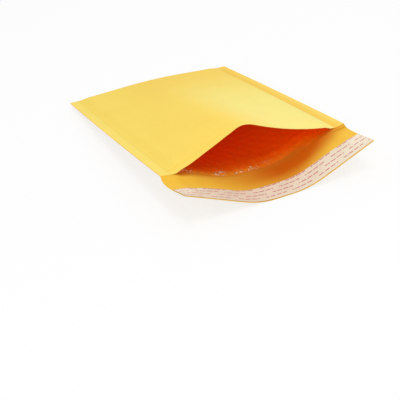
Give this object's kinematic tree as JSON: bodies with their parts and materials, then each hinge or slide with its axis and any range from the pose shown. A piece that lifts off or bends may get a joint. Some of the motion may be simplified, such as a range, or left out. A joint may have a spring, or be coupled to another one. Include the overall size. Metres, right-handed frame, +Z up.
{
  "type": "padded envelope",
  "caption": "Open padded mailing envelope of kraft paper with a bubble film pouch inside and an unfolded flap with a covered glue band.",
  "frame": {"origin": "centre of the envelope's box in X and Y, on the table under the back panel", "axes": "+Z up, mouth and flap toward -Y, closed fold toward +Y, +X to the right as seen from the mouth"},
  "size_m": [0.216, 0.3314, 0.0554],
  "materials": {
    "kraft": "smooth matte golden kraft paper",
    "film": "clear bubble film over kraft, glossy",
    "glue": "clear tacky hot-melt band",
    "liner": "off-white silicone release paper, slight sheen"
  },
  "bodies": {
    "root": {"kraft_envelope": "kraft", "bubble_lining": "film", "adhesive_strip": "glue", "release_liner": "liner"}
  },
  "joints": []
}
